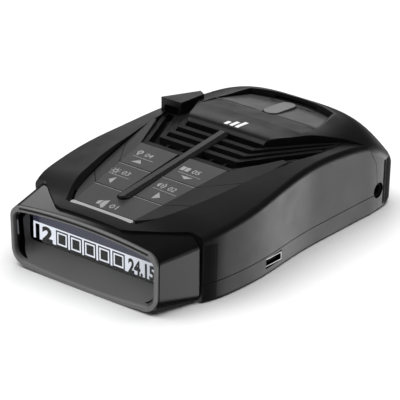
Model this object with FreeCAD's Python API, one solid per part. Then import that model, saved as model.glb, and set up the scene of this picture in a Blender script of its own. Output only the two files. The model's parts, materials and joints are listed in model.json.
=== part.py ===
"""Radar detector with a lit display at its rear end (-Y) and a horn antenna at its road end (+Y).

Millimetres. X is to the driver's right, Z is up, and the origin is the middle of the footprint.
"""
import FreeCAD, Part
import math
import os

# Whole object
length = 114.0
width = 73.6
height = 32.0
rear = -length / 2
front = length / 2
half_width = width / 2

# Moulded casing
wall = 1.8
floor_thickness = 2.0
seam_height = 6.4
seam_gap = 0.2
collar_front = -41.0
tongue_rear = -53.4
tongue_thickness = 1.2
cap_seam = 45.1
window_rear = 50.0
window_top = 17.0
window_thickness = 1.5
window_floor = 1.0

# Casing sections: station, half width, foot half width, crease height, crown height
casing_stations = [
    (-55.0, 30.4, 29.8, 19.9, 22.7),
    (-48.0, 31.9, 31.2, 20.6, 23.8),
    (-41.0, 33.7, 32.9, 21.6, 25.2),
    (-36.0, 35.5, 34.6, 22.4, 26.1),
    (-30.0, 36.4, 35.4, 23.1, 26.8),
    (-20.5, half_width, 35.8, 24.3, 27.8),
    (-11.0, 36.2, 35.3, 25.5, 28.5),
    (-1.5, 35.1, 34.3, 26.4, 29.0),
    (8.0, 34.2, 33.5, 27.1, 29.3),
    (18.0, 33.9, 33.3, 27.2, 29.3),
    (28.0, 33.9, 33.3, 26.4, 29.2),
    (37.0, 33.9, 33.3, 25.0, 29.2),
    (45.3, 33.8, 33.2, 23.0, 28.8),
]
casing_foot_reach = 1.4
casing_crease_reach = 1.7

# Front cap and hood sections: station, half width, foot half width, base, crease height, crown height,
# crease reach, and how square the arch is
cap_stations = [
    (9.8, 34.1, 33.4, 0.0, 24.4, 29.9, 2.0, 5.0),
    (10.6, 34.1, 33.4, 0.0, 25.2, 30.8, 2.0, 5.0),
    (12.6, 34.0, 33.4, 0.0, 25.7, 31.4, 2.0, 5.0),
    (20.0, 33.9, 33.3, 0.0, 25.6, 31.2, 2.0, 5.0),
    (31.0, 33.9, 33.3, 0.0, 25.0, 30.6, 2.2, 5.0),
    (38.5, 33.9, 33.3, 0.0, 24.0, 30.6, 2.4, 4.6),
    (45.3, 33.8, 33.2, 0.0, 21.8, 30.5, 2.6, 4.0),
    (49.5, 33.4, 32.8, 0.0, 19.3, 29.1, 2.6, 3.6),
    (53.0, 32.7, 32.1, 0.4, 16.9, 26.0, 2.4, 3.2),
    (55.4, 31.2, 30.6, 1.3, 15.2, 21.6, 2.2, 3.0),
    (56.6, 29.6, 29.0, 2.5, 13.8, 18.0, 2.0, 3.0),
    (front, 28.2, 27.6, 3.6, 12.8, 15.6, 1.8, 3.0),
]
cap_foot_reach = 1.6
hood_skirt_height = 24.9
hood_skirt_front = 33.3
hood_outline = [
    (15.4, 9.0), (15.4, 10.0), (19.4, 18.0), (22.7, 24.0), (26.3, 29.5),
    (28.7, hood_skirt_front), (31.0, 36.5), (33.0, 39.6), (40.0, 39.6), (40.0, 60.0),
]
# Side view of the joint between the casing and the front hood: y, z
side_joint = [(39.6, 23.9), (41.6, 21.0), (43.8, 17.9), (44.8, 13.5), (cap_seam, 9.0), (cap_seam, -5.0)]

# Display end
bezel_half_width = 29.3
bezel_crown = 22.0
bezel_crease = 19.8
bezel_lip = 1.0
bezel_top_lip = 1.6
collar_flare = 3.4
bezel_thickness = 1.2
display_front = -51.2
display_half_width = 26.6
display_floor = 7.3
display_ceiling = 18.2

# Keypad frame: local origin on the key surface, u to the right, v up the slope, w out of it
keypad_origin = (0.0, -39.6, 24.2)
keypad_slope = 7.9
fold_start = 12.87
fold_growth = 0.138
flank_fall = 0.30
key_travel = 0.5
key_gap = 0.3
cap_thickness = 1.2
key_underside = -3.4
deck_top = -4.2
deck_thickness = 1.0
deck_rim_top = -2.4
deck_front = 33.0
rim_front = 12.0
stem_tip = -5.9
keypad_board_top = -8.2
keypad_board_thickness = 1.0
opening_rear = -7.6
bar_rear = -9.6
grille_edge = 30.3
opening_points = [(12.4, -7.6), (17.1, 0.0), (21.1, 12.2), (25.4, 33.4), (28.3, 53.0)]
lip_corner = (17.7, 30.3)
lip_end = (28.3, 52.6)
dividers = [[(13.4, 3.84), (21.4, 12.0)], [(15.4, 17.2), (26.2, 32.8)]]
keys = {
    "mute_key": (0.0, -4.0),
    "dim_key": (-7.6, 10.5),
    "sensitivity_key": (7.6, 10.5),
    "mark_key": (-9.0, 24.0),
    "menu_key": (9.0, 24.0),
}
stem_size = (5.0, 3.0)

# Spine over the keypad
spine_half_width = 2.1
spine_rise = 1.1
spine_front = 10.4

# Speaker grille fins: corner x, corner y, corner height, end x, end y, end height
fin_bars = [
    (15.6, -3.4, 28.5, 29.2, 23.6, 27.0),
    (15.4, 0.8, 29.0, 29.0, 27.4, 27.0),
    (15.0, 4.9, 29.5, 28.6, 31.0, 27.1),
]
fin_width = 2.0
fin_depth = 2.4
grille_floor = 24.7

# Mounting dish and release button
dish_rear = 30.6
dish_front = 46.6
dish_rear_half = 20.2
dish_front_half = 16.8
pod_fall = 0.4
dish_rim = 29.9
dish_depth = 1.9
dish_floor_thickness = 1.5
button_length = 13.0
button_width = 5.6
button_rise = 0.9
button_travel = 1.2
button_middle = 37.2
button_clearance = 0.3
coil_radius = 1.6
wire_radius = 0.25
slot_width = 17.0
slot_height = 1.0
slot_depth = 1.1
flange_bottom = 24.9
flange_top = 25.9
flange_reach = 1.0
plate_bottom = 20.5
plate_top = 21.5
plate_half_length = 14.5
plate_half_width = 4.0
plate_screws = (-12.0, 12.0)

# Rear-looking pod on the left shoulder
pod_rear = 15.8
pod_front = 28.6
pod_base = 24.9
pod_wall = 1.5

# Speaker
speaker_middle = 0.6
speaker_top = 24.2
speaker_radius = 9.6

# Circuit boards and ports
board_bottom = 5.2
board_thickness = 1.2
board_half_width = 29.4
board_rear = -41.0
board_front = 48.0
usb_middle = -9.6
usb_height = 3.95
jack_middle = 45.9
jack_height = 7.4
jack_bore = 1.8
jack_hole = 2.6
case_screws = [(-27.0, -33.0), (27.0, -33.0), (-23.0, 36.0), (23.0, 36.0)]
board_screws = [(0.0, -36.0), (-22.0, 22.0), (22.0, 22.0)]
screw_bore = 1.1
pilot_bore = 0.9

# Gap between mouldings, and the reach of cutting blocks that clear the whole object
fit_gap = 0.15
across = 60.0
far = 80.0

os.makedirs("parts", exist_ok=True)


def vector(x, y, z):
    return FreeCAD.Vector(x, y, z)


def box(x0, x1, y0, y1, z0, z1):
    return Part.makeBox(x1 - x0, y1 - y0, z1 - z0, vector(x0, y0, z0))


def post(x, y, z0, z1, radius):
    return Part.makeCylinder(radius, z1 - z0, vector(x, y, z0))


def rod(start, end, radius):
    return Part.makeCylinder(radius, (end - start).Length, start, end - start)


def prism(points, z0, z1):
    corners = [vector(x, y, z0) for x, y in points]
    face = Part.Face(Part.makePolygon(corners + corners[:1]))
    return face.extrude(vector(0, 0, z1 - z0))


def side_prism(points, reach):
    """Block with an outline drawn in the side view, from -reach to reach across the object."""
    corners = [vector(-reach, y, z) for y, z in points]
    return Part.Face(Part.makePolygon(corners + corners[:1])).extrude(vector(2 * reach, 0, 0))


def mirrored(points):
    """Closed outline from its right-hand half, listed from front or rear middle outward."""
    return points + [(-x, y) for x, y in reversed(points)]


def fused(shapes):
    whole = shapes[0]
    for shape in shapes[1:]:
        whole = whole.fuse(shape)
    return whole.removeSplitter()


def cut_all(shape, tools):
    for tool in tools:
        shape = shape.cut(tool)
    return shape


def save(name, shape):
    """Write one named piece, keeping only its solids."""
    solids = [solid for solid in shape.Solids if solid.Volume > 0.01]
    piece = solids[0] if len(solids) == 1 else Part.makeCompound(solids)
    piece.exportStep("parts/" + name + ".step")
    bounds = piece.BoundBox
    spans = "x %.1f..%.1f y %.1f..%.1f z %.1f..%.1f" % (
        bounds.XMin, bounds.XMax, bounds.YMin, bounds.YMax, bounds.ZMin, bounds.ZMax)
    print("%-22s solids %d valid %s vol %9.2f %s" % (name, len(solids), piece.isValid(), piece.Volume, spans))


def corner_arc(before, corner, after, reach):
    """Arc that rounds a corner; it starts and ends at the distance reach from it."""
    back = (before - corner).normalize()
    ahead = (after - corner).normalize()
    half_angle = back.getAngle(ahead) / 2
    depth = reach * (1 - math.sin(half_angle)) / math.cos(half_angle)
    middle = corner + (back + ahead).normalize() * depth
    return Part.Arc(corner + back * reach, middle, corner + ahead * reach)


def arch_point(x, y, side, crease, crown, power):
    """Point on a squared arch that falls from the crown to the crease height at the side."""
    return vector(x, y, crown - (crown - crease) * (abs(x) / side) ** power)


def squared_arch(start, y, side, crease, crown, power):
    """Top of a section as one smooth curve from the right crease to the left one."""
    shares = (1.0, 0.93, 0.84, 0.7, 0.5, 0.25, 0.0, -0.25, -0.5, -0.7, -0.84, -0.93, -1.0)
    curve = Part.BSplineCurve()
    curve.interpolate([arch_point(start.x * share, y, side, crease, crown, power) for share in shares])
    return curve


def casing_wire(y, side, foot, base, sag, crease, crown, foot_reach, crease_reach, power=2.0):
    """One cross section: rounded feet, leaning sides, a soft crease and an arched top."""
    foot_right = vector(foot, y, base)
    foot_left = vector(-foot, y, base)
    crease_right = vector(side, y, crease)
    crease_left = vector(-side, y, crease)
    inward = crease_reach / math.hypot(1, power * (crown - crease) / side)
    arch_right = arch_point(side - inward, y, side, crease, crown, power)
    arch_left = vector(-arch_right.x, y, arch_right.z)
    reach = (arch_right - crease_right).Length
    right_foot = corner_arc(foot_left, foot_right, crease_right, foot_reach)
    right_crease = corner_arc(foot_right, crease_right, arch_right, reach)
    left_crease = corner_arc(arch_left, crease_left, foot_left, reach)
    left_foot = corner_arc(crease_left, foot_left, foot_right, foot_reach)
    if sag > 0:
        bottom = Part.Arc(left_foot.EndPoint, vector(0, y, base - sag), right_foot.StartPoint)
    else:
        bottom = Part.LineSegment(left_foot.EndPoint, right_foot.StartPoint)
    if power == 2.0:
        top = Part.Arc(right_crease.EndPoint, vector(0, y, crown), left_crease.StartPoint)
    else:
        top = squared_arch(arch_right, y, side, crease, crown, power)
    edges = [
        bottom,
        right_foot,
        Part.LineSegment(right_foot.EndPoint, right_crease.StartPoint),
        right_crease,
        top,
        left_crease,
        Part.LineSegment(left_crease.EndPoint, left_foot.StartPoint),
        left_foot,
    ]
    return Part.Wire([edge.toShape() for edge in edges])


def casing_loft(inset=0.0, lift=0.0):
    wires = []
    for y, side, foot, crease, crown in casing_stations:
        wires.append(casing_wire(y, side - inset, foot - inset, lift, 0, crease - inset, crown - inset,
                                 casing_foot_reach, casing_crease_reach))
    return Part.makeLoft(wires, True, False)


def cap_loft(inset=0.0, lift=0.0):
    """Hood and road-end cap; the inset also draws the nose back."""
    wires = []
    for y, side, foot, base, crease, crown, reach, power in cap_stations:
        nose_share = max(0.0, (y - cap_seam) / (front - cap_seam))
        station = y - inset * nose_share
        wires.append(casing_wire(station, side - inset, foot - inset, base + lift, 0, crease - inset,
                                 crown - inset, cap_foot_reach, reach, power))
    return Part.makeLoft(wires, True, False)


def collar_wire(y, inset=0.0):
    """Section of the display collar, which widens from the bezel to the casing."""
    share = (y - rear) / (collar_front - rear)
    side = bezel_half_width + collar_flare * share - inset
    crown = bezel_crown + 1.5 * share - inset
    crease = bezel_crease + 1.2 * share - inset
    base = 0.8 - 0.6 * share + inset
    sag = 0.8 - 0.6 * share
    return casing_wire(y, side, side - 0.4, base, sag, crease, crown, 5.4 - 2.6 * share, 3.6)


def in_keypad(shape):
    """Carry a shape from the keypad's own frame into place."""
    placed = shape.copy()
    placed.rotate(vector(0, 0, 0), vector(1, 0, 0), keypad_slope)
    placed.translate(vector(*keypad_origin))
    return placed


def opening_wire(w, grow):
    """Keypad opening in its own frame: straight rear and front, curved sides."""
    right = [vector(u + grow, v - (grow if v == opening_rear else 0), w) for u, v in opening_points]
    left = [vector(-point.x, point.y, w) for point in reversed(right)]
    side_right = Part.BSplineCurve()
    side_right.interpolate(right)
    side_left = Part.BSplineCurve()
    side_left.interpolate(left)
    edges = [
        side_right.toShape(),
        Part.LineSegment(right[-1], left[0]).toShape(),
        side_left.toShape(),
        Part.LineSegment(left[-1], right[0]).toShape(),
    ]
    return Part.Wire(edges)


def opening_solid(w0, w1, grow0, grow1):
    return Part.makeLoft([opening_wire(w0, grow0), opening_wire(w1, grow1)], True, True)


def key_roof(top_drop, bottom):
    """Keypad surface as a solid: a flat middle with a falling flank on each side."""
    sections = []
    for v in (-12.0, 58.0):
        fold = fold_start + fold_growth * v
        reach = 34.0
        fall = flank_fall * (reach - fold)
        points = [
            (reach, -top_drop - fall),
            (fold, -top_drop),
            (-fold, -top_drop),
            (-reach, -top_drop - fall),
            (-reach, bottom - 10),
            (reach, bottom - 10),
        ]
        corners = [vector(u, v, w) for u, w in points]
        sections.append(Part.makePolygon(corners + corners[:1]))
    roof = Part.makeLoft(sections, True, True)
    return roof.common(box(-40, 40, -20, 60, bottom, 10))


def divider_gap(points):
    """Slot between two rows of keys: straight over the middle, running forward on the flanks."""
    (fold_u, fold_v), (edge_u, edge_v) = points
    half = key_gap / 2
    rear_line = mirrored([(fold_u, fold_v - half), (edge_u, edge_v - half)])
    front_line = [(u, v + 2 * half) for u, v in rear_line]
    right = [rear_line[0], rear_line[1], front_line[1], front_line[0]]
    left = [(-u, v) for u, v in right]
    middle = mirrored([(fold_u, fold_v - half), (fold_u, fold_v + half)])
    return [prism(outline, -12, 6) for outline in (right, left, middle)]


def lip_block(back_off):
    """Everything on the road side of the grille lip, in the keypad frame."""
    corner_u, corner_v = lip_corner
    end_u, end_v = lip_end
    end_v -= back_off
    right = [(corner_u, corner_v - back_off), (end_u, end_v), (across, end_v), (across, far)]
    return prism(mirrored(right), -14, 8)


def spine_slot(half, rear_end):
    straight = prism([(-half, rear_end + half), (half, rear_end + half), (half, 60.0), (-half, 60.0)], -14, 8)
    return straight.fuse(post(0, rear_end + half, -14, 8, half))


def key_panel():
    """All five key caps before they are divided."""
    cap = key_roof(0.0, key_underside).cut(key_roof(cap_thickness, key_underside - 3))
    cap = cap.common(opening_solid(-12, 6, -key_gap, -key_gap))
    cap = cap.cut(lip_block(1.5 * key_gap))
    cap = cap.cut(spine_slot(spine_half_width + key_gap, -key_gap))
    for points in dividers:
        cap = cut_all(cap, divider_gap(points))
    tip = box(-40, 40, 46.5, 60, -14, 8)
    return cap.cut(tip)


def build_keys():
    """Each key is a folded cap with a stem that reaches its switch."""
    solids = key_panel().Solids
    for name, (u, v) in keys.items():
        half_u = stem_size[0] / 2
        half_v = stem_size[1] / 2
        probe = vector(u + 3.2, v, -cap_thickness / 2)
        cap = next(solid for solid in solids if solid.isInside(probe, 0.01, True))
        stem = box(u - half_u, u + half_u, v - half_v, v + half_v, stem_tip, -cap_thickness + 0.2)
        save(name, in_keypad(cap.fuse(stem).removeSplitter()))


def build_key_deck():
    """Fixed frame under the keys, with a guide hole for each stem."""
    deck = opening_solid(deck_top - deck_thickness, deck_top, 1.2, 1.2)
    deck = deck.cut(lip_block(0.9)).cut(box(-across, across, deck_front, far, -20, 20))
    holes = []
    for u, v in keys.values():
        half_u = stem_size[0] / 2 + 0.35
        half_v = stem_size[1] / 2 + 0.35
        holes.append(box(u - half_u, u + half_u, v - half_v, v + half_v, -10, 0))
    rim = opening_solid(deck_top, deck_rim_top, 1.2, 1.2)
    rim = rim.cut(opening_solid(deck_top - 1, deck_rim_top + 1, 0.4, 0.4))
    rim = rim.cut(box(-across, across, rim_front, far, -20, 20))
    save("key_deck", in_keypad(cut_all(deck.fuse(rim), holes).removeSplitter()))


def build_keypad_board():
    """Board under the deck with one small switch below each stem."""
    top = keypad_board_top
    board = box(-15, 15, -5.4, 28.6, top - keypad_board_thickness, top)
    save("keypad_board", in_keypad(board))
    switches = []
    for u, v in keys.values():
        body = box(u - 2.2, u + 2.2, v - 1.6, v + 1.6, top, top + 1.4)
        button = post(u, v, top + 1.4, top + 1.75, 0.9)
        switches.append(body.fuse(button))
    save("key_switches", in_keypad(Part.makeCompound(switches)))
    lamps = [box(u - 0.8, u + 0.8, bar_rear + 4.4, bar_rear + 5.2, top, top + 0.7) for u in (-11.5, 11.5)]
    save("keypad_lamps", in_keypad(Part.makeCompound(lamps)))
    ribbon = box(-4, 4, 28.6, 28.8, -17.4, top - 0.2)
    save("keypad_ribbon", in_keypad(ribbon))


def build_light_bar():
    """Light guide along the rear edge of the keypad."""
    half = 11.4
    middle = (opening_rear + bar_rear) / 2
    radius = (opening_rear - bar_rear) / 2 - 0.1
    straight = box(-half, half, middle - radius, middle + radius, -1.0, 0.1)
    ends = [post(u, middle, -1.0, 0.1, radius) for u in (-half, half)]
    save("mute_light_bar", in_keypad(fused([straight] + ends)))


def keypad_opening():
    """Space cut out of the top cover for the keys: upright below, bevelled above."""
    upright = opening_solid(-9, -1.4, 0.0, 0.0)
    bevel = opening_solid(-1.4, 6.6, 0.0, 8.0)
    bar = box(-12.6, 12.6, bar_rear, opening_rear + 1, -9, 8)
    return in_keypad(fused([upright, bevel])).fuse(in_keypad(bar))


def hood_prism(inset, z0, z1):
    """Space the front hood fills: its outline from above, cut back along the side joint, which stays open."""
    outline = [(x - inset, y + (inset if y < 12 else 0)) for x, y in hood_outline]
    profile = [(y + min(inset, 0), z) for y, z in side_joint]
    profile += [(far, -5), (far, far), (0, far), (0, side_joint[0][1])]
    side_space = side_prism(profile, across)
    return prism(mirrored(outline), z0, z1).common(side_space)


def tongue_prism():
    outline = [(12.2, tongue_rear), (15.0, -52.3), (23.2, -46.0), (28.5, -41.6), (33.0, -39.8), (33.0, -38.0)]
    return prism(mirrored(outline), 10, 40)


def fin_field(grow):
    """Plan area of the speaker grille: lip line, hood walls and the shoulder edge."""
    outline = [(17.7 + grow, -9.4 - grow), (28.3 + grow, 12.6), (29.6 + grow, 18.0), (29.9 + grow, 26.0),
               (28.7 + grow, 33.2 + grow), (0.0, 33.2 + grow)]
    return prism(mirrored(outline[:-1]), 10, 40)


def jack_rod(x0, x1, radius):
    """Round bar on the power jack's axis."""
    return rod(vector(x0, jack_middle, jack_height), vector(x1, jack_middle, jack_height), radius)


def build_casing():
    """Top cover, bottom cover and front hood, all cut from the same lofted forms."""
    outer = casing_loft(0.0, -0.1)
    inner = casing_loft(wall, floor_thickness)
    lowered = outer.copy()
    lowered.translate(vector(0, 0, -tongue_thickness))
    shell = outer.cut(inner)
    above = box(-far, far, collar_front, cap_seam, seam_height + seam_gap / 2, far)
    below = box(-far, far, collar_front, cap_seam - 0.1, 0, seam_height - seam_gap / 2)
    tongue = outer.cut(lowered).common(tongue_prism())
    tongue = tongue.common(box(-far, far, -far, collar_front + 0.5, 0, far))
    jack_cut = jack_rod(20, 40, jack_hole)
    usb_cut = box(30, 40, usb_middle - 4.3, usb_middle + 4.3, usb_height - 1.65, usb_height + 1.65)
    hood_space = hood_prism(-fit_gap, seam_height, far)

    top = shell.common(above).fuse(tongue)
    bosses = [post(x, y, seam_height + 0.4, 27, 3.0) for x, y in case_screws if y < 0]
    top = fused([top] + [boss.common(lowered) for boss in bosses])
    screw_bores = [post(x, y, seam_height - 1, seam_height + 9, screw_bore) for x, y in case_screws]
    cuts = [keypad_opening(), fin_field(0.0), hood_space, pod_block(-fit_gap), jack_cut] + screw_bores
    save("top_cover", cut_all(top, cuts))

    bottom = shell.common(below)
    cups = [post(x, y, 1.0, board_bottom - 0.2, 3.2) for x, y in case_screws]
    stands = [post(x, y, 1.0, board_bottom, 2.4) for x, y in board_screws]
    bottom = fused([bottom] + cups + stands)
    screw_ways = [post(x, y, -1, 20, 1.6) for x, y in case_screws]
    head_seats = [post(x, y, -1, 2.6, 2.8) for x, y in case_screws]
    board_ways = [post(x, y, 2.4, 20, pilot_bore) for x, y in board_screws]
    label_seat = box(-17, 17, -24, 6, -1, 0.3)
    holes = screw_ways + head_seats + board_ways + [usb_cut, jack_cut, label_seat]
    save("bottom_cover", cut_all(bottom, holes))

    build_front_hood(jack_cut, screw_bores)
    return lowered


def dish_wire(z, grow):
    """D-shaped outline of the dish, with a bowed road-side edge; it runs on past the ramp's start."""
    half_rear = dish_rear_half + grow
    half_front = dish_front_half + grow
    shoulder = dish_front - 3.4 + grow
    start = dish_rear - 8
    outline = [(-half_rear, start), (half_rear, start), (half_rear, dish_rear),
               (half_front, shoulder), (-half_front, shoulder), (-half_rear, dish_rear)]
    points = [vector(x, y, z) for x, y in outline]
    edges = [
        Part.LineSegment(points[0], points[1]),
        Part.LineSegment(points[1], points[2]),
        Part.LineSegment(points[2], points[3]),
        Part.Arc(points[3], vector(0, dish_front + grow, z), points[4]),
        Part.LineSegment(points[4], points[5]),
        Part.LineSegment(points[5], points[0]),
    ]
    return Part.Wire([edge.toShape() for edge in edges])


def ramp_height(y):
    return dish_rim - (y - dish_rear) * dish_depth / (dish_front - dish_rear)


def dish_space(drop, grow):
    """Wedge above the ramp, which meets the arched hood with no step and is deepest at the road side."""
    column = Part.Face(dish_wire(20, grow)).extrude(vector(0, 0, 20))
    y0 = dish_rear - 9
    y1 = dish_front + 6
    profile = [(y0, ramp_height(y0) - drop), (y1, ramp_height(y1) - drop), (y1, 45), (y0, 45)]
    return column.common(side_prism(profile, 30))


def stadium(z0, z1, half_length, radius):
    """Upright pill shape with round ends."""
    y0 = button_middle - half_length + radius
    y1 = button_middle + half_length - radius
    middle = box(-radius, radius, y0, y1, z0, z1)
    return fused([middle, post(0, y0, z0, z1, radius), post(0, y1, z0, z1, radius)])


def pod_block(inset):
    """Raised block on the left shoulder that looks back at the road behind; it narrows towards the front."""
    rear_edge = [(-31.3 + inset, pod_rear + inset), (-23.0 - inset, pod_rear + inset)]
    front_edge = [(-22.8 - inset, 27.0 - inset), (-25.6 + inset, pod_front - inset)]
    top = height - inset
    block = prism(rear_edge + front_edge, pod_base + inset, top)
    slope = [(pod_rear, top), (pod_front, top - pod_fall), (60, 50), (0, 50)]
    return block.cut(side_prism(slope, across))


def build_front_hood(jack_cut, screw_bores):
    """Hood over the speaker, mounting dish, rear sensor pod and road-end cap in one moulding."""
    outer = cap_loft()
    inner = cap_loft(wall, wall)
    solid = outer.common(hood_prism(0.0, -1, far))
    hollow = inner.common(hood_prism(wall, -1, far))
    hood = solid.cut(hollow)
    hood = hood.cut(box(-far, far, 0, cap_seam, -5, seam_height + seam_gap / 2))
    hood = hood.cut(box(-far, far, 0, hood_skirt_front, -5, hood_skirt_height))
    pod = pod_block(0.0).cut(pod_block(pod_wall))
    hood = hood.cut(pod_block(0.0)).fuse(pod)
    window_bay = box(-far, far, window_rear, far, -5, window_top)
    window = outer.common(window_bay).cut(cap_loft(window_thickness, window_floor))
    hood = hood.cut(window_bay)

    tray = dish_space(dish_floor_thickness, 1.6).cut(dish_space(0, 0.0)).common(outer)
    hood = hood.cut(dish_space(0, 0.0)).fuse(tray.common(box(-far, far, dish_rear, window_rear, 0, far)))
    posts = [post(x, button_middle, plate_top + 0.1, 27.6, 2.2) for x in plate_screws]
    bosses = [post(x, y, seam_height + 0.4, 28.6, 3.0) for x, y in case_screws if y > 0]
    hood = fused([hood] + posts + bosses)
    button_way = stadium(20, 40, button_length / 2 + button_clearance, button_width / 2 + button_clearance)
    slot_floor = ramp_height(dish_front) + fit_gap
    slot = Part.Face(dish_wire(slot_floor, slot_depth)).extrude(vector(0, 0, slot_height))
    slot = slot.common(box(-slot_width / 2, slot_width / 2, dish_front - 3, far, 0, far))
    pod_eye = box(-29.8, -24.5, 10, 18, 27.0, 29.8)
    plate_bores = [post(x, button_middle, 20, 26, pilot_bore) for x in plate_screws]
    save("front_hood", cut_all(hood, [button_way, slot, pod_eye, jack_cut] + screw_bores + plate_bores))
    save("front_window", window)
    build_pod()
    build_release()


def build_pod():
    """Lens and sensor board inside the rear-looking pod."""
    save("pod_window", box(-29.7, -24.6, 16.2, 17.2, 27.1, 29.7))
    save("pod_board", box(-27.2, -25.0, 20.0, 20.8, 26.9, 30.0))
    save("pod_sensor", box(-27.2, -25.4, 18.2, 20.0, 27.2, 29.6))


def wire_section(turned, z):
    """Eight-sided section of the spring's wire, in the upright plane at one angle round the coil."""
    corners = []
    for side in range(8):
        around = 2 * math.pi * side / 8
        reach = coil_radius + wire_radius * math.cos(around)
        rise = wire_radius * math.sin(around)
        corners.append(vector(reach * math.cos(turned), reach * math.sin(turned), z + rise))
    return Part.makePolygon(corners + corners[:1])


def build_release():
    """Release button with its return spring and the plate behind it."""
    half_length = button_length / 2
    radius = button_width / 2
    rear_end = button_middle - half_length
    front_end = button_middle + half_length
    body = stadium(flange_top, 40, half_length, radius)
    low = ramp_height(front_end) + button_rise
    high = ramp_height(rear_end) + 0.3
    below_top = side_prism([(rear_end, 20), (front_end, 20), (front_end, low), (rear_end, high)], 9)
    flange = stadium(flange_bottom, flange_top, half_length + flange_reach, radius + flange_reach)
    save("release_button", fused([body.common(below_top), flange]))

    spring_turns = 4
    sections_per_turn = 16
    bottom = plate_top + wire_radius
    climb = flange_bottom - wire_radius - bottom
    sections = []
    for step in range(spring_turns * sections_per_turn + 1):
        turned = 2 * math.pi * step / sections_per_turn
        sections.append(wire_section(turned, bottom + climb * step / (spring_turns * sections_per_turn)))
    spring = Part.makeLoft(sections, True, True)
    spring.translate(vector(0, button_middle, 0))
    save("release_spring", spring)

    plate = box(-plate_half_length, plate_half_length, button_middle - plate_half_width,
                button_middle + plate_half_width, plate_bottom, plate_top)
    plate_holes = [post(x, button_middle, 20, 22, screw_bore) for x in plate_screws]
    save("release_plate", cut_all(plate, plate_holes))
    screws = []
    for x in plate_screws:
        head = post(x, button_middle, plate_bottom - 1.1, plate_bottom, 1.9)
        screws.append(head.fuse(post(x, button_middle, plate_bottom, 25.6, 0.85)))
    save("plate_screws", Part.makeCompound(screws))


def build_spine(lowered):
    """Ridge that runs up the middle of the keypad and into the hood."""
    rear_v = 0.0
    front_v = (spine_front - keypad_origin[1]) / math.cos(math.radians(keypad_slope))
    half = spine_half_width
    sections = []
    for v, rise in ((rear_v, spine_rise), (front_v, spine_rise - 1.3)):
        points = [(-half, -2.6), (half, -2.6), (half, rise - 0.9), (half - 1.1, rise), (-half + 1.1, rise),
                  (-half, rise - 0.9)]
        corners = [vector(u, v, w) for u, w in points]
        sections.append(Part.makePolygon(corners + corners[:1]))
    ridge = Part.makeLoft(sections, True, True)
    tip = ridge.common(post(0, half, -9, 9, half))
    ridge = ridge.cut(box(-9, 9, -9, half, -9, 9)).fuse(tip)
    feet = [box(-1.2, 1.2, v, v + 3, deck_top, -2.5) for v in (1.0, 27.0)]
    spine = in_keypad(fused([ridge] + feet))
    save("centre_spine", spine.cut(hood_prism(-0.1, 0, 80)))


def flank_bar(start, end, span, depth):
    """Straight bar between two upright rectangles, each in a plane across the object."""
    wires = []
    for x, y, z in (start, end):
        base = z - depth
        corners = [vector(x - span, y, base), vector(x, y, base), vector(x, y, z), vector(x - span, y, z)]
        wires.append(Part.makePolygon(corners + corners[:1]))
    return Part.makeLoft(wires, True, True)


def mirror_x(shape):
    return shape.mirror(vector(0, 0, 0), vector(1, 0, 0))


def build_grille():
    """Chevron fins between the keys and the hood, in one frame over the speaker."""
    pieces = []
    bars = [(17.9, -9.2, 27.9, 28.4, 12.4, 27.3)] + fin_bars
    for x, y, z, end_x, end_y, end_z in bars:
        pieces.append(box(-x, x, y, y + fin_width, z - fin_depth, z))
        right = flank_bar((x, y, z), (end_x, end_y, end_z), fin_width, fin_depth)
        pieces += [right, mirror_x(right)]
    for x in (5.5, 11.0):
        heights = [(-9.0, grille_floor), (9.6, grille_floor), (9.6, 28.0), (-9.0, 26.4)]
        corners = [vector(x, y, z) for y, z in heights]
        rib = Part.Face(Part.makePolygon(corners + corners[:1])).extrude(vector(1.0, 0, 0))
        pieces += [rib, mirror_x(rib)]
    for y in (-8.8, 8.2):
        pieces.append(box(-12, 12, y, y + 1.2, grille_floor, 25.4))
    rail = flank_bar((29.3, 12.0, 27.0), (29.6, 25.0, 26.9), 1.4, 2.2)
    tail = flank_bar((29.6, 25.0, 26.9), (28.6, 32.6, 27.0), 3.0, 2.2)
    seat = box(-26, 26, 17.0, 18.2, grille_floor, 25.8)
    pieces += [rail, mirror_x(rail), tail, mirror_x(tail), seat]
    grille = fused(pieces)
    grille = grille.common(fin_field(-fit_gap))
    hood_solid = hood_prism(-fit_gap, hood_skirt_height - 1, 60)
    grille = grille.cut(hood_solid.common(box(-across, across, 0, 60, hood_skirt_height - 0.2, 60)))
    grille = grille.cut(pod_block(-fit_gap))
    spine_way = box(-spine_half_width - fit_gap, spine_half_width + fit_gap, -12, 12, 25.5, 40)
    save("speaker_grille", max(grille.cut(spine_way).Solids, key=lambda solid: solid.Volume))


def bezel_mouth():
    """Aperture in the bezel's face, with a deeper lip along its top edge."""
    side = bezel_half_width - bezel_lip
    return casing_wire(rear - 0.01, side, side - 0.4, 1.0 + bezel_lip, 1.0, bezel_crease - bezel_top_lip,
                       bezel_crown - bezel_top_lip, 4.4, 2.8)


def build_display():
    """Bezel with its funnel and sloped chin, window, panel, light box and driver board."""
    rim = Part.Face(collar_wire(rear)).extrude(vector(0, bezel_thickness, 0))
    sleeve = Part.Face(collar_wire(rear, wall + fit_gap)).extrude(vector(0, display_front - rear, 0))
    mouth = bezel_mouth()
    half = display_half_width
    mouth_back = casing_wire(display_front + 0.01, half, half, display_floor, 0.01,
                             display_ceiling - 0.4, display_ceiling, 1.4, 1.4)
    funnel = Part.makeLoft([mouth, mouth_back], True, True)
    save("display_bezel", rim.fuse(sleeve).removeSplitter().cut(funnel))

    collar_rear = rear + bezel_thickness
    outer = Part.makeLoft([collar_wire(collar_rear), collar_wire(collar_front - 0.1)], True, True)
    inner_ends = [collar_wire(collar_rear - 0.1, wall), collar_wire(collar_front + 0.1, wall)]
    inner = Part.makeLoft(inner_ends, True, True)
    return outer.cut(inner)


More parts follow.
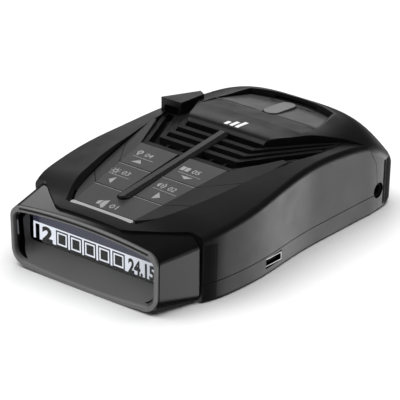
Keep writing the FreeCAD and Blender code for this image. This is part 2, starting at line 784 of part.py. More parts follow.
def build_collar(shell, lowered):
    """Gloss collar round the display; the cover's tongue and the keypad sit in its top."""
    under_tongue = tongue_prism().cut(lowered)
    bay_outline = [(14.4, -50.0), (20.0, -45.6), (24.5, -42.6), (24.5, -38.0)]
    keypad_bay = prism(mirrored(bay_outline), 12, 40)
    save("rear_collar", cut_all(shell, [under_tongue, keypad_bay]))
    half = display_half_width
    save("display_window", box(-half - 0.2, half + 0.2, display_front, display_front + 1.0, 5.6, 17.8))
    save("display_panel", box(-half, half, -50.1, -48.7, 6.2, 17.2))
    save("display_light_box", box(-half, half, -48.6, -46.6, 6.2, 17.0))
    save("display_board", box(-half, half, -46.4, -45.2, 4.0, 17.2))
    ribbon = box(8, 18, -45.2, -42.2, 7.8, 8.0).fuse(box(8, 18, -42.4, -42.2, 4.6, 8.0))
    ribbon = ribbon.fuse(box(8, 18, -42.4, -40.6, 6.5, 6.7)).cut(box(7, 19, -43, -42.1, 4.5, 6.5))
    save("display_ribbon", ribbon.removeSplitter())


def build_speaker():
    """Small round loudspeaker under the grille."""
    middle = speaker_middle
    top = speaker_top
    flange = post(0, middle, top - 1.2, top, speaker_radius).cut(post(0, middle, 10, 40, 8.4))
    basket_outer = Part.makeCone(5.4, 8.9, 3.4, vector(0, middle, top - 4.6))
    basket_inner = Part.makeCone(4.8, 8.4, 3.4, vector(0, middle, top - 4.6))
    basket = basket_outer.cut(basket_inner)
    save("speaker_basket", fused([flange, basket]))
    cone_outer = Part.makeCone(3.0, 8.2, 2.6, vector(0, middle, top - 3.4))
    cone_inner = Part.makeCone(2.6, 7.9, 2.4, vector(0, middle, top - 3.1))
    save("speaker_cone", cone_outer.cut(cone_inner))
    save("speaker_magnet", post(0, middle, top - 7.6, top - 4.7, 6.0))
    ring = post(0, middle, top + 0.05, grille_floor - 0.05, speaker_radius).cut(post(0, middle, 10, 40, 8.2))
    save("speaker_gasket", ring)


def build_boards():
    """Main board with its parts, the ports and the screws that hold it all."""
    top = board_bottom + board_thickness
    board = box(-board_half_width, board_half_width, board_rear + 2.0, board_front, board_bottom, top)
    holes = [post(x, y, 0, 20, 3.5) for x, y in case_screws]
    holes += [post(x, y, 0, 20, screw_bore) for x, y in board_screws]
    jack_notch = box(22.2, 40, jack_middle - 3.2, 60, 0, 20)
    save("main_board", cut_all(board, holes + [jack_notch]))

    chips = [(-6.0, -22.0, 12.0, 12.0, 1.2), (10.5, -20.0, 7.0, 7.0, 1.0), (-19.0, -14.0, 6.0, 5.0, 1.6),
             (19.0, -4.0, 5.0, 6.0, 1.6)]
    parts = [box(x - a / 2, x + a / 2, y - b / 2, y + b / 2, top, top + h) for x, y, a, b, h in chips]
    save("board_chips", Part.makeCompound(parts))
    cans = [post(x, y, top, top + 6.0, 2.4) for x, y in ((-20.5, -24.0), (20.5, -26.0), (22.0, 10.0))]
    save("board_capacitors", Part.makeCompound(cans))
    shield = box(-15, 15, -2, 17, top, top + 5.0).cut(box(-14.6, 14.6, -1.6, 16.6, top, top + 4.6))
    save("mixer_shield", shield)

    mouth = [(-21.0, 8.0), (21.0, 8.0), (21.0, 19.4), (-21.0, 19.4)]
    throat = [(-6.0, 9.4), (6.0, 9.4), (6.0, 15.2), (-6.0, 15.2)]

    def ring(points, y, grow):
        corners = [vector(x + math.copysign(grow, x), y, z + (grow if z > 13 else -grow)) for x, z in points]
        return Part.makePolygon(corners + corners[:1])

    throat_y = 19.0
    mouth_y = 51.0
    horn_outer = Part.makeLoft([ring(throat, throat_y, 1.2), ring(mouth, mouth_y, 1.2)], True, True)
    inner_ends = [ring(throat, throat_y + 1.2, 0.0), ring(mouth, mouth_y + 0.1, 0.0)]
    horn_inner = Part.makeLoft(inner_ends, True, True)
    horn = horn_outer.cut(horn_inner)
    horn = cut_all(horn, [post(x, y, 0, 30, 3.4) for x, y in case_screws if y > 0])
    feet = [box(x - 2, x + 2, 24.0, 26.0, top, 9.0) for x in (-5.0, 5.0)]
    save("horn_antenna", fused([horn] + feet))

    save("laser_board", box(-30.2, -23.4, 48.4, 49.4, 6.6, 15.4))
    save("laser_sensor", box(-28.4, -25.2, 49.4, 50.6, 9.4, 12.6))
    dome = Part.makeSphere(2.6, vector(-26.8, 49.9, 11.0)).common(box(-40, -20, 50.7, 60, 0, 30))
    save("laser_lens", dome)

    usb_outer = box(29.3, 35.1, usb_middle - 3.9, usb_middle + 3.9, board_bottom - 2.6, board_bottom)
    usb_inner = box(30.1, 40, usb_middle - 3.6, usb_middle + 3.6, board_bottom - 2.3, board_bottom - 0.3)
    save("usb_socket", usb_outer.cut(usb_inner))
    tongue_top = board_bottom - 0.9
    save("usb_tongue", box(30.1, 34.3, usb_middle - 1.9, usb_middle + 1.9, tongue_top - 0.8, tongue_top))

    jack = box(22.4, 30.4, jack_middle - 3.0, jack_middle + 3.0, jack_height - 2.3, jack_height + 2.7)
    snout = jack_rod(30.4, 32.6, 2.3)
    save("power_jack", fused([jack, snout]).cut(jack_rod(23.6, 40, jack_bore)))

    case = []
    for x, y in case_screws:
        head = post(x, y, 0.9, 2.4, 2.4).cut(box(x - 1.4, x + 1.4, y - 0.3, y + 0.3, 0.8, 1.5))
        case.append(head.fuse(post(x, y, 2.4, seam_height + 6.5, 1.05)))
    save("case_screws", Part.makeCompound(case))
    inner = [post(x, y, top, top + 1.2, 1.9).fuse(post(x, y, 2.8, top, 0.85)) for x, y in board_screws]
    save("board_screws", Part.makeCompound(inner))
    save("rating_label", box(-16.8, 16.8, -23.8, 5.8, 0.12, 0.28))


lowered_top = build_casing()
collar_shell = build_display()
build_collar(collar_shell, lowered_top)
build_keys()
build_key_deck()
build_keypad_board()
build_light_bar()
build_spine(lowered_top)
build_grille()
build_speaker()
build_boards()
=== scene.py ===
import json
import math

import bmesh
import bpy
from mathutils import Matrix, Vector
from mathutils.bvhtree import BVHTree


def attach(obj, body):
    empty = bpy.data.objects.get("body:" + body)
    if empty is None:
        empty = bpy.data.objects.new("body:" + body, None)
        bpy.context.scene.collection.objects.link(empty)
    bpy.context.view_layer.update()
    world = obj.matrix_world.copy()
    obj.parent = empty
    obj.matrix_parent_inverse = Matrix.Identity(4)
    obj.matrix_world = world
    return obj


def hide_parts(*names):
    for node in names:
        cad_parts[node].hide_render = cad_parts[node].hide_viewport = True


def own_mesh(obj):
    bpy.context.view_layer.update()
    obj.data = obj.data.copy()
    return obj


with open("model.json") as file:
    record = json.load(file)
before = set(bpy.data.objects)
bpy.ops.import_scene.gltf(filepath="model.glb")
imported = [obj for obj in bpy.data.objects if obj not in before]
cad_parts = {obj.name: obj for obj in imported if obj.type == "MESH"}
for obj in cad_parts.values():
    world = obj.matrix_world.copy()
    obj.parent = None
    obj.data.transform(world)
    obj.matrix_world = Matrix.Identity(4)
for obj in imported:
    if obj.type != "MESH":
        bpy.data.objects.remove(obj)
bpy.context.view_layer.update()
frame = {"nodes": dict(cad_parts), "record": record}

nodes = frame["nodes"]
MM = 0.001

# Camera, found from the object's own edges: place and turn in the object's frame
CAMERA_PLACE = (0.5014, -0.6018, 0.3616)
CAMERA_TURN = (65.84, 0.0, 39.91)
CAMERA_LENS = 247.5
SENSOR = 36.0

# The sloping keypad: origin on its surface, u right, v up the slope, w out of it
KEYPAD_ORIGIN = Vector((0.0, -39.6, 24.2))
KEYPAD_SLOPE = math.radians(7.9)
# Front face of the display panel
DISPLAY_FACE = -50.1

# Release button: half the distance between its end centres, its hole's radius and its middle
BUTTON_REACH = 3.7
BUTTON_HOLE = 3.2
BUTTON_MIDDLE = 37.2

# Return spring under the button: coil and wire radius, foot, top, number of turns, steps per turn and sides
# of the wire
COIL_RADIUS = 1.6
WIRE_RADIUS = 0.25
SPRING_FOOT = 21.5
SPRING_TOP = 24.9
SPRING_TURNS = 4
SPRING_STEPS = 24
WIRE_SIDES = 10

# Level of the cloth under the grille
CLOTH_HEIGHT = 24.69

# Size of the numbers on the keys, and the emblem's bars: first one, spacing, width, foot and heights
NUMBER_WIDTH = 2.9
NUMBER_HEIGHT = 2.2
EMBLEM_LEFT = -2.9
EMBLEM_PITCH = 2.2
EMBLEM_BAR = 1.4
EMBLEM_FOOT = 12.6
EMBLEM_HEIGHTS = (2.4, 3.9, 5.4)

# Release dish: rear edge, start of its bowed front, that bow's middle, and half widths at rear and front
DISH_REAR = 30.6
DISH_SHOULDER = 43.2
DISH_FRONT = 46.6
DISH_REAR_HALF = 20.2
DISH_FRONT_HALF = 16.8

# Lip line of painted shade: the bezel's face, the arch's height in the middle and at its sides, half the
# arch's span, the line's start and length, and how far its two edges lie below the arch
BEZEL_FACE = -57.0
LIP_CROWN = 22.0
LIP_FOOT = 20.0
LIP_HALF = 29.3
LIP_START = -25.5
LIP_LENGTH = 51.5
LIP_TOP_DROP = 0.45
LIP_BOTTOM_DROP = 1.15

# Ends of the painted shade band next to the collar and of the window's edge strip, along the object
COLLAR_SHADE_START = -40.6
COLLAR_SHADE_END = -36.2
STRIP_START = 48.6
STRIP_END = 49.9

# Lit area of the display, the dusk above it, and the row of five boxes
GLOW_LEFT = -26.2
GLOW_RIGHT = 24.6
GLOW_BOTTOM = 7.6
GLOW_TOP = 13.2
DUSK_HEIGHT = 3.2
BOX_START = -16.9
BOX_PITCH = 5.7
BOX_SIDE = 4.95
BOX_BOTTOM = 7.5
BOX_TOP = 12.7
BOX_RING = 0.5

# Longest piece of an inlay on flat ground, which needs no dividing
FLAT = 80.0

# Studio round the object: soft panels as aim, inner and outer angle in degrees, and radiance
ROOM_GLOW = 0.03
STUDIO_PANELS = [
    ((-0.585, -0.432, 0.676), 18.0, 32.0, 1.3),
    ((-0.604, 0.720, 0.342), 4.0, 17.0, 1.2),
    ((0.280, 0.910, -0.310), 4.0, 12.0, 4.0),
]
# Lit table: steps in which it brightens below the horizon, its brighter side, its spread and its radiance
TABLE_STEPS = ((-0.12, 0.05, 0.30), (0.25, 0.29, 0.70))
TABLE_AIM = (0.375, 0.927, 0.0)
TABLE_SPAN = (0.50, 0.82)
TABLE_RADIANCE = 1.9
TABLE_NEAR_EDGE = (0.58, 0.80)
# Dimmer part of the table on the object's left side: aim, spread, brightening below the horizon, radiance
BACK_AIM = (-0.95, -0.25, 0.0)
BACK_SPAN = (0.30, 0.60)
BACK_STEP = (0.16, 0.26)
BACK_RADIANCE = 0.9
DOWN = (0, 0, -1)
FLOOR_REACH = 6.0
LAMP_PLACE = (0.0, 0.1, 1.5)
LAMP_TARGET = (0.0, 0.1, 0.0)
LAMP_SIDE = 2.0
LAMP_POWER = 40.0

# Noise scales, in cells per metre, of the patches of colour and of the smudges
PATCH_SCALE = 60.0
SMUDGE_SCALE = PATCH_SCALE * 2.7
SHEET_SCALE = 150.0


# ---------------------------------------------------------------- materials

def socket(shader, name, value):
    """Set one of a shader's own values."""
    shader.inputs[name].default_value = value


def grey(value, tint=(1.0, 1.0, 1.0)):
    return (value * tint[0], value * tint[1], value * tint[2], 1.0)


def map_range(tree, source, low, high):
    """Spread the middle of a noise pattern from low to high."""
    node = tree.nodes.new("ShaderNodeMapRange")
    node.inputs["From Min"].default_value = 0.3
    node.inputs["From Max"].default_value = 0.7
    node.inputs["To Min"].default_value = low
    node.inputs["To Max"].default_value = high
    tree.links.new(source, node.inputs["Value"])
    return node.outputs["Result"]


def noise(tree, coordinates, scale, detail, stretch=None):
    vector = coordinates
    if stretch is not None:
        mapping = tree.nodes.new("ShaderNodeMapping")
        mapping.inputs["Scale"].default_value = stretch
        tree.links.new(coordinates, mapping.inputs["Vector"])
        vector = mapping.outputs["Vector"]
    node = tree.nodes.new("ShaderNodeTexNoise")
    node.inputs["Scale"].default_value = scale
    node.inputs["Detail"].default_value = detail
    tree.links.new(vector, node.inputs["Vector"])
    return node.outputs["Fac"]


def mixed(tree, factor, first, second):
    node = tree.nodes.new("ShaderNodeMix")
    node.data_type = "RGBA"
    node.inputs["A"].default_value = first
    node.inputs["B"].default_value = second
    tree.links.new(factor, node.inputs["Factor"])
    return node.outputs["Result"]


def surface(name, colour, second_colour, roughness, roughness_spread, grain_scale, grain_depth,
            edge=0.12, metallic=0.0, specular=0.5, coat=0.0, coat_roughness=0.05, stretch=None):
    """Moulded or metal surface: patchy colour, smudged roughness, fine grain and softened edges.

    grain_scale counts cells per metre; grain_depth and edge are millimetres.
    """
    material = bpy.data.materials.new(name)
    material.use_nodes = True
    tree = material.node_tree
    shader = tree.nodes["Principled BSDF"]
    place = tree.nodes.new("ShaderNodeTexCoord").outputs["Object"]
    patches = map_range(tree, noise(tree, place, PATCH_SCALE, 4.0), 0.0, 1.0)
    tree.links.new(mixed(tree, patches, colour, second_colour), shader.inputs["Base Color"])
    smudges = noise(tree, place, SMUDGE_SCALE, 5.0, stretch)
    tree.links.new(map_range(tree, smudges, roughness - roughness_spread, roughness + roughness_spread),
                   shader.inputs["Roughness"])
    edges = tree.nodes.new("ShaderNodeBevel")
    edges.samples = 4
    edges.inputs["Radius"].default_value = edge * MM
    bump = tree.nodes.new("ShaderNodeBump")
    bump.inputs["Strength"].default_value = 1.0
    bump.inputs["Distance"].default_value = grain_depth * MM
    tree.links.new(noise(tree, place, grain_scale, 3.0, stretch), bump.inputs["Height"])
    tree.links.new(edges.outputs["Normal"], bump.inputs["Normal"])
    tree.links.new(bump.outputs["Normal"], shader.inputs["Normal"])
    socket(shader, "Metallic", metallic)
    socket(shader, "Specular IOR Level", specular)
    socket(shader, "Coat Weight", coat)
    socket(shader, "Coat Roughness", coat_roughness)
    return material


def clear(name, tint, roughness, share):
    """Thin clear sheet: mostly see-through, with a sharp reflection that grows at a shallow angle.

    Its back faces only let light through, so that a slab reflects once.
    """
    material = bpy.data.materials.new(name)
    material.use_nodes = True
    tree = material.node_tree
    tree.nodes.remove(tree.nodes["Principled BSDF"])
    output = tree.nodes["Material Output"]
    through = tree.nodes.new("ShaderNodeBsdfTransparent")
    through.inputs["Color"].default_value = tint
    gloss = tree.nodes.new("ShaderNodeBsdfGlossy")
    place = tree.nodes.new("ShaderNodeTexCoord").outputs["Object"]
    smudges = noise(tree, place, SHEET_SCALE, 4.0)
    tree.links.new(map_range(tree, smudges, roughness * 0.6, roughness * 1.4), gloss.inputs["Roughness"])
    facing = tree.nodes.new("ShaderNodeFresnel")
    facing.inputs["IOR"].default_value = 1.0 + share
    front = tree.nodes.new("ShaderNodeMath")
    front.operation = "SUBTRACT"
    front.use_clamp = True
    tree.links.new(facing.outputs["Fac"], front.inputs[0])
    back = tree.nodes.new("ShaderNodeNewGeometry").outputs["Backfacing"]
    tree.links.new(back, front.inputs[1])
    mix = tree.nodes.new("ShaderNodeMixShader")
    tree.links.new(front.outputs["Value"], mix.inputs["Fac"])
    tree.links.new(through.outputs["BSDF"], mix.inputs[1])
    tree.links.new(gloss.outputs["BSDF"], mix.inputs[2])
    tree.links.new(mix.outputs["Shader"], output.inputs["Surface"])
    return material


def masked_base(material, axis, start, end, colour):
    """Fade a surface's colour to another one between two planes across one axis, given in millimetres."""
    tree = material.node_tree
    shader = tree.nodes["Principled BSDF"]
    split = tree.nodes.new("ShaderNodeSeparateXYZ")
    tree.links.new(tree.nodes.new("ShaderNodeTexCoord").outputs["Object"], split.inputs["Vector"])
    share = tree.nodes.new("ShaderNodeMapRange")
    share.inputs["From Min"].default_value = start * MM
    share.inputs["From Max"].default_value = end * MM
    tree.links.new(split.outputs[axis], share.inputs["Value"])
    blend = tree.nodes.new("ShaderNodeMix")
    blend.data_type = "RGBA"
    before = shader.inputs["Base Color"].links[0].from_socket
    tree.links.new(share.outputs["Result"], blend.inputs["Factor"])
    tree.links.new(before, blend.inputs["A"])
    blend.inputs["B"].default_value = colour
    tree.links.new(blend.outputs["Result"], shader.inputs["Base Color"])
    return material


def lit(name, colour, left, right):
    """Backlit display colour that dims from the left end to the right end."""
    material = surface(name, grey(0.02), grey(0.025), 0.5, 0.05, 3000.0, 0.001, edge=0.0)
    tree = material.node_tree
    shader = tree.nodes["Principled BSDF"]
    place = tree.nodes.new("ShaderNodeTexCoord").outputs["Object"]
    split = tree.nodes.new("ShaderNodeSeparateXYZ")
    tree.links.new(place, split.inputs["Vector"])
    fall = tree.nodes.new("ShaderNodeMapRange")
    fall.inputs["From Min"].default_value = 8.0 * MM
    fall.inputs["From Max"].default_value = 25.0 * MM
    fall.inputs["To Min"].default_value = left
    fall.inputs["To Max"].default_value = right
    tree.links.new(split.outputs["X"], fall.inputs["Value"])
    shader.inputs["Emission Color"].default_value = colour
    tree.links.new(fall.outputs["Result"], shader.inputs["Emission Strength"])
    return material


# Each surface: colour, second colour, roughness, its spread, grain scale and grain depth
MATERIALS = {
    "cover_satin": surface("satin_cover", grey(0.005), grey(0.007), 0.40, 0.04, 5200.0, 0.006, specular=0.45),
    "gloss_black": surface("gloss_collar", grey(0.004), grey(0.006), 0.12, 0.03, 900.0, 0.0015,
                           specular=0.6, coat=0.5),
    "key_grey": surface("key_charcoal", grey(0.028), grey(0.035), 0.36, 0.04, 6000.0, 0.008,
                        specular=1.0, coat=0.5, coat_roughness=0.3),
    "spine_dark": surface("spine_dark", grey(0.012), grey(0.016), 0.24, 0.04, 4000.0, 0.006, specular=1.0),
    "infrared_filter": surface("infrared_filter", grey(0.004, (1.2, 0.8, 0.9)), grey(0.006), 0.30, 0.03,
                               700.0, 0.001, specular=0.004),
    # Light grey of the key print, also used for the painted highlights along the key edges
    "print_and_highlight_grey": surface("print_and_highlight_grey", grey(0.30), grey(0.26), 0.5, 0.05, 2600.0, 0.002, edge=0.0),
    "printed_white": surface("printed_white", grey(0.80), grey(0.72), 0.45, 0.05, 2600.0, 0.002, edge=0.0),
    "display_glow": lit("display_glow", (0.93, 0.95, 1.0, 1.0), 0.95, 0.5),
    "display_dusk": lit("display_dusk", (0.45, 0.47, 0.80, 1.0), 0.07, 0.05),
    "display_dark": surface("display_dark", grey(0.008), grey(0.011), 0.4, 0.05, 2600.0, 0.001,
                            edge=0.0, specular=0.1),
    "clear_window": clear("clear_window", (0.94, 0.95, 0.97, 1.0), 0.03, 0.45),
    "panel_glass": surface("panel_glass", grey(0.02, (0.9, 0.9, 1.2)), grey(0.03), 0.2, 0.03, 800.0, 0.001),
    "light_guide": surface("light_guide", grey(0.34), grey(0.30), 0.4, 0.05, 3000.0, 0.004),
    "board_green": surface("board_green", (0.02, 0.10, 0.045, 1.0), (0.03, 0.13, 0.06, 1.0), 0.35, 0.05,
                           2500.0, 0.01),
    "chip_black": surface("chip_black", grey(0.02), grey(0.026), 0.5, 0.05, 5000.0, 0.01),
    "can_metal": surface("can_metal", grey(0.62), grey(0.55), 0.3, 0.05, 2000.0, 0.004, metallic=1.0),
    "plated_steel": surface("plated_steel", grey(0.50), grey(0.42), 0.32, 0.08, 1800.0, 0.006, metallic=1.0),
    "spring_steel": surface("spring_steel", grey(0.42), grey(0.36), 0.3, 0.05, 2500.0, 0.004, metallic=1.0),
    "horn_metal": surface("horn_metal", grey(0.52), grey(0.46), 0.45, 0.06, 3000.0, 0.02, metallic=1.0),
    "magnet_metal": surface("magnet_metal", grey(0.32), grey(0.28), 0.35, 0.05, 1500.0, 0.005, metallic=1.0),
    "cone_paper": surface("cone_paper", grey(0.045), grey(0.06), 0.85, 0.05, 2500.0, 0.03),
    "foam_black": surface("foam_black", grey(0.02), grey(0.028), 0.9, 0.05, 3500.0, 0.05),
    "lens_clear": surface("lens_red", (0.30, 0.03, 0.05, 1.0), (0.24, 0.02, 0.04, 1.0), 0.08, 0.02,
                          600.0, 0.001, coat=0.6),
    "ribbon_film": surface("ribbon_film", (0.42, 0.20, 0.04, 1.0), (0.36, 0.16, 0.03, 1.0), 0.3, 0.05,
                           1500.0, 0.004),
    "label_film": surface("label_film", grey(0.13), grey(0.15), 0.5, 0.05, 4000.0, 0.003),
    "port_nylon": surface("port_nylon", grey(0.008), grey(0.011), 0.6, 0.05, 4500.0, 0.01, specular=0.15),
}
# Finishes of single nodes that differ from the rest of their slot
BEZEL_SATIN_AND_PAINTED_RIM = surface("bezel_satin_painted_rim", grey(0.072), grey(0.080), 0.36, 0.04, 5200.0, 0.006, specular=0.5)
NODE_MATERIALS = {
    # The bezel's front face fades to a lighter grey: a painted highlight along its rim.
    "display_bezel": masked_base(BEZEL_SATIN_AND_PAINTED_RIM, "Y", -56.3, -56.8, grey(0.16)),
    "speaker_grille": surface("grille_matt", grey(0.007), grey(0.009), 0.55, 0.05, 5200.0, 0.006,
                              specular=0.25),
    "key_deck": surface("deck_matt", grey(0.006), grey(0.008), 0.5, 0.05, 5200.0, 0.006, specular=0.3),
    "release_button": surface("button_satin", grey(0.10), grey(0.12), 0.34, 0.05, 5200.0, 0.006,
                              specular=0.6),
}
# Lighter grey for the dish: painted reflection on its floor and painted highlight on its rim.
DISH_PAINTED_REFLECTION = surface("dish_reflection_paint", grey(0.045), grey(0.055), 0.36, 0.04, 5200.0, 0.006, specular=0.5)
CLOTH_FINISH = surface("woven_cloth", grey(0.008), grey(0.014), 0.9, 0.05, 1800.0, 0.05,
                       edge=0.0, specular=0.1, stretch=(1.0, 3.0, 1.0))
# Near-black finish for painted shade: the dish's edge line, the band by the collar and the line along the
# bezel's lip.
PAINTED_SHADE_FINISH = surface("painted_shade_dark", grey(0.004), grey(0.006), 0.4, 0.05, 5200.0, 0.001,
                      edge=0.0, specular=0.2)
for part in frame["record"]["subparts"]:
    node = nodes[part["node"]]
    node.data.materials.clear()
    node.data.materials.append(NODE_MATERIALS.get(part["node"], MATERIALS[part["material_slot"]]))


# ---------------------------------------------------------------- printed marks

def tree_of(node):
    """Search tree over one CAD node's faces, in the object's frame."""
    place = node.matrix_world
    corners = [place @ vertex.co for vertex in node.data.vertices]
    return BVHTree.FromPolygons(corners, [tuple(face.vertices) for face in node.data.polygons])


def letters(text, width, height, boldness=0.012):
    """Flat mesh of a number in the built-in font, centred and fitted to a box in millimetres."""
    curve = bpy.data.curves.new("letters", "FONT")
    curve.body = text
    curve.resolution_u = 3
    curve.offset = boldness
    holder = bpy.data.objects.new("letters", curve)
    bpy.context.scene.collection.objects.link(holder)
    bpy.context.view_layer.update()
    evaluated = holder.evaluated_get(bpy.context.evaluated_depsgraph_get())
    mesh = evaluated.to_mesh()
    points = [(vertex.co.x, vertex.co.y) for vertex in mesh.vertices]
    faces = [tuple(face.vertices) for face in mesh.polygons]
    evaluated.to_mesh_clear()
    bpy.data.objects.remove(holder)
    bpy.data.curves.remove(curve)
    low = [min(point[axis] for point in points) for axis in (0, 1)]
    high = [max(point[axis] for point in points) for axis in (0, 1)]
    scale = [width / (high[0] - low[0]), height / (high[1] - low[1])]
    fitted = []
    middle = [(low[axis] + high[axis]) / 2 for axis in (0, 1)]
    for point in points:
        fitted.append(tuple((point[axis] - middle[axis]) * scale[axis] for axis in (0, 1)))
    return fitted, faces


def moved(shape, u, v):
    points, faces = shape
    return [(point[0] + u, point[1] + v) for point in points], faces


def joined(shapes):
    """Several flat shapes as one."""
    points, faces = [], []
    for more_points, more_faces in shapes:
        start = len(points)
        points += more_points
        faces += [tuple(index + start for index in face) for face in more_faces]
    return points, faces


def polygon(*points):
    return list(points), [tuple(range(len(points)))]


def rectangle(u0, v0, u1, v1):
    return polygon((u0, v0), (u1, v0), (u1, v1), (u0, v1))


def line(start, end, width):
    """Thin straight bar between two points."""
    along = Vector((end[0] - start[0], end[1] - start[1])).normalized()
    across = Vector((-along.y, along.x)) * width / 2
    ends = (Vector(start), Vector(end))
    corners = [ends[0] - across, ends[1] - across, ends[1] + across, ends[0] + across]
    return polygon(*[tuple(corner) for corner in corners])


def arc(middle, radius, start, end, width, steps=14, taper=0.0):
    """Curved band round a centre between two angles in degrees, thinner towards its ends when tapered."""
    outer, inner = [], []
    for step in range(steps + 1):
        share = step / steps
        turned = math.radians(start + (end - start) * share)
        half = width / 2 * (1.0 - taper * abs(2 * share - 1))
        for reach, ring in ((radius + half, outer), (radius - half, inner)):
            ring.append((middle[0] + reach * math.cos(turned), middle[1] + reach * math.sin(turned)))
    points = outer + inner
    faces = [(step, step + 1, steps + 2 + step, steps + 1 + step) for step in range(steps)]
    return points, faces


def inlay(name, shape, place, body, material, rise=0.02, sink=0.05, piece_length=0.9):
    """Turn a flat shape into a thin closed inlay; place(u, v, w) gives a point, w out of the surface."""
    points, faces = shape
    bm = bmesh.new()
    vertices = [bm.verts.new((u, v, 0.0)) for u, v in points]
    for face in faces:
        bm.faces.new([vertices[index] for index in face])
    bmesh.ops.remove_doubles(bm, verts=bm.verts[:], dist=1e-5)
    bmesh.ops.triangulate(bm, faces=bm.faces[:])
    for _ in range(3):
        long_edges = [edge for edge in bm.edges if edge.calc_length() > piece_length]
        if long_edges:
            bmesh.ops.subdivide_edges(bm, edges=long_edges, cuts=1)
            bmesh.ops.triangulate(bm, faces=bm.faces[:])
    bmesh.ops.recalc_face_normals(bm, faces=bm.faces[:])
    lower = bm.verts[:]
    grown = bmesh.ops.extrude_face_region(bm, geom=bm.faces[:], use_keep_orig=True)
    upper = [item for item in grown["geom"] if isinstance(item, bmesh.types.BMVert)]
    for group, offset in ((lower, -sink), (upper, rise)):
        for vertex in group:
            vertex.co = place(vertex.co.x, vertex.co.y, offset)
    bmesh.ops.recalc_face_normals(bm, faces=bm.faces[:])
    mesh = bpy.data.meshes.new(name)
    bm.to_mesh(mesh)
    bm.free()
    piece = bpy.data.objects.new(name, mesh)
    bpy.context.scene.collection.objects.link(piece)
    mesh.materials.append(material)
    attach(piece, body)
    return piece


def keypad_point(u, v, w):
    """Point in the object's frame, in metres, from keypad millimetres."""
    out = Vector((0.0, -math.sin(KEYPAD_SLOPE), math.cos(KEYPAD_SLOPE)))
    along = Vector((0.0, math.cos(KEYPAD_SLOPE), math.sin(KEYPAD_SLOPE)))
    return (KEYPAD_ORIGIN + Vector((u, 0.0, 0.0)) + along * v + out * w) * MM


def draped_on_keypad(node):
    """Placing rule that follows the top of one key."""
    tree = tree_of(node)
    into = Vector((0.0, math.sin(KEYPAD_SLOPE), -math.cos(KEYPAD_SLOPE)))

    def place(u, v, w):
        hit = tree.ray_cast(keypad_point(u, v, 8.0), into)[0]
        if hit is None:
            hit = keypad_point(u, v, 0.0)
        return hit - into * w * MM
    return place


def draped_from_above(node):
    """Placing rule that follows a surface seen from straight above."""
    tree = tree_of(node)

    def place(x, y, w):
        hit = tree.ray_cast(Vector((x, y, 60.0)) * MM, Vector((0.0, 0.0, -1.0)))[0]
        if hit is None:
            hit = tree.find_nearest(Vector((x, y, 30.0)) * MM)[0]
        return hit + Vector((0.0, 0.0, w * MM))
    return place


def on_display(x, z, w):
    return Vector((x, DISPLAY_FACE - w, z)) * MM


def pictograms():
    """Small drawn signs beside the numbers on the keys, each with its key."""
    lamp_middle = Vector((-12.6, 12.3))
    speaker = joined([polygon((-4.85, -5.9), (-3.7, -5.5), (-3.7, -3.2), (-5.13, -4.0)),
                      polygon((-3.4, -5.6), (-1.77, -7.12), (-1.31, -6.5), (-1.98, -2.1), (-3.4, -3.3))])
    waves = [polygon((4.1, 12.2), (5.1, 11.4), (5.1, 14.0), (4.1, 13.2))]
    for radius in (1.0, 1.9):
        waves.append(arc((5.0, 12.7), radius, -50, 50, 0.45))
    lamp = [arc(tuple(lamp_middle), 0.75, 0, 360, 0.45, 18)]
    for turn in range(0, 360, 45):
        ray = Vector((math.cos(math.radians(turn)), math.sin(math.radians(turn))))
        lamp.append(line(tuple(lamp_middle + ray * 1.2), tuple(lamp_middle + ray * 1.75), 0.3))
    pin = joined([arc((-13.4, 25.0), 0.75, 0, 360, 0.6, 18),
                  polygon((-14.2, 24.4), (-13.4, 22.9), (-12.6, 24.4))])
    pages = []
    for start in (3.8, 5.6):
        pages.append(rectangle(start, 23.0, start + 1.5, 25.2))
    return {
        "mute_key": speaker,
        "sensitivity_key": joined(waves),
        "dim_key": joined(lamp),
        "mark_key": pin,
        "menu_key": joined(pages),
    }


def painted_edge_highlight(start_u, end_u, v):
    """Painted highlight: a thin light line along the edge of a key, where the gap's edge catches light."""
    return line((start_u, v), (end_u, v), 0.16)


def underline(start, end):
    """Thin line under a key's number and sign."""
    return line(start, end, 0.2)


def lines_and_arrows():
    """Painted highlights along the key edges, the line under each sign and the arrow below it, each with its
    key.
    """
    return {
        "mute_key": [painted_edge_highlight(-13.4, -2.4, 3.45), painted_edge_highlight(2.4, 13.4, 3.45)],
        "sensitivity_key": [
            painted_edge_highlight(2.4, 15.2, 16.75),
            underline((3.94, 10.46), (13.47, 9.96)),
            polygon((7.7, 5.1), (9.9, 6.8), (7.6, 9.2)),
        ],
        "dim_key": [
            painted_edge_highlight(-15.2, -2.4, 16.75),
            underline((-13.77, 10.41), (-5.59, 10.35)),
            polygon((-11.1, 7.4), (-9.0, 5.5), (-9.5, 9.45)),
        ],
        "mark_key": [
            underline((-14.31, 22.3), (-6.06, 22.17)),
            polygon((-12.4, 19.1), (-8.5, 19.3), (-10.1, 21.2)),
        ],
        "menu_key": [
            underline((4.23, 21.89), (13.19, 21.61)),
            polygon((6.7, 20.6), (9.0, 19.1), (11.15, 20.7)),
        ],
    }


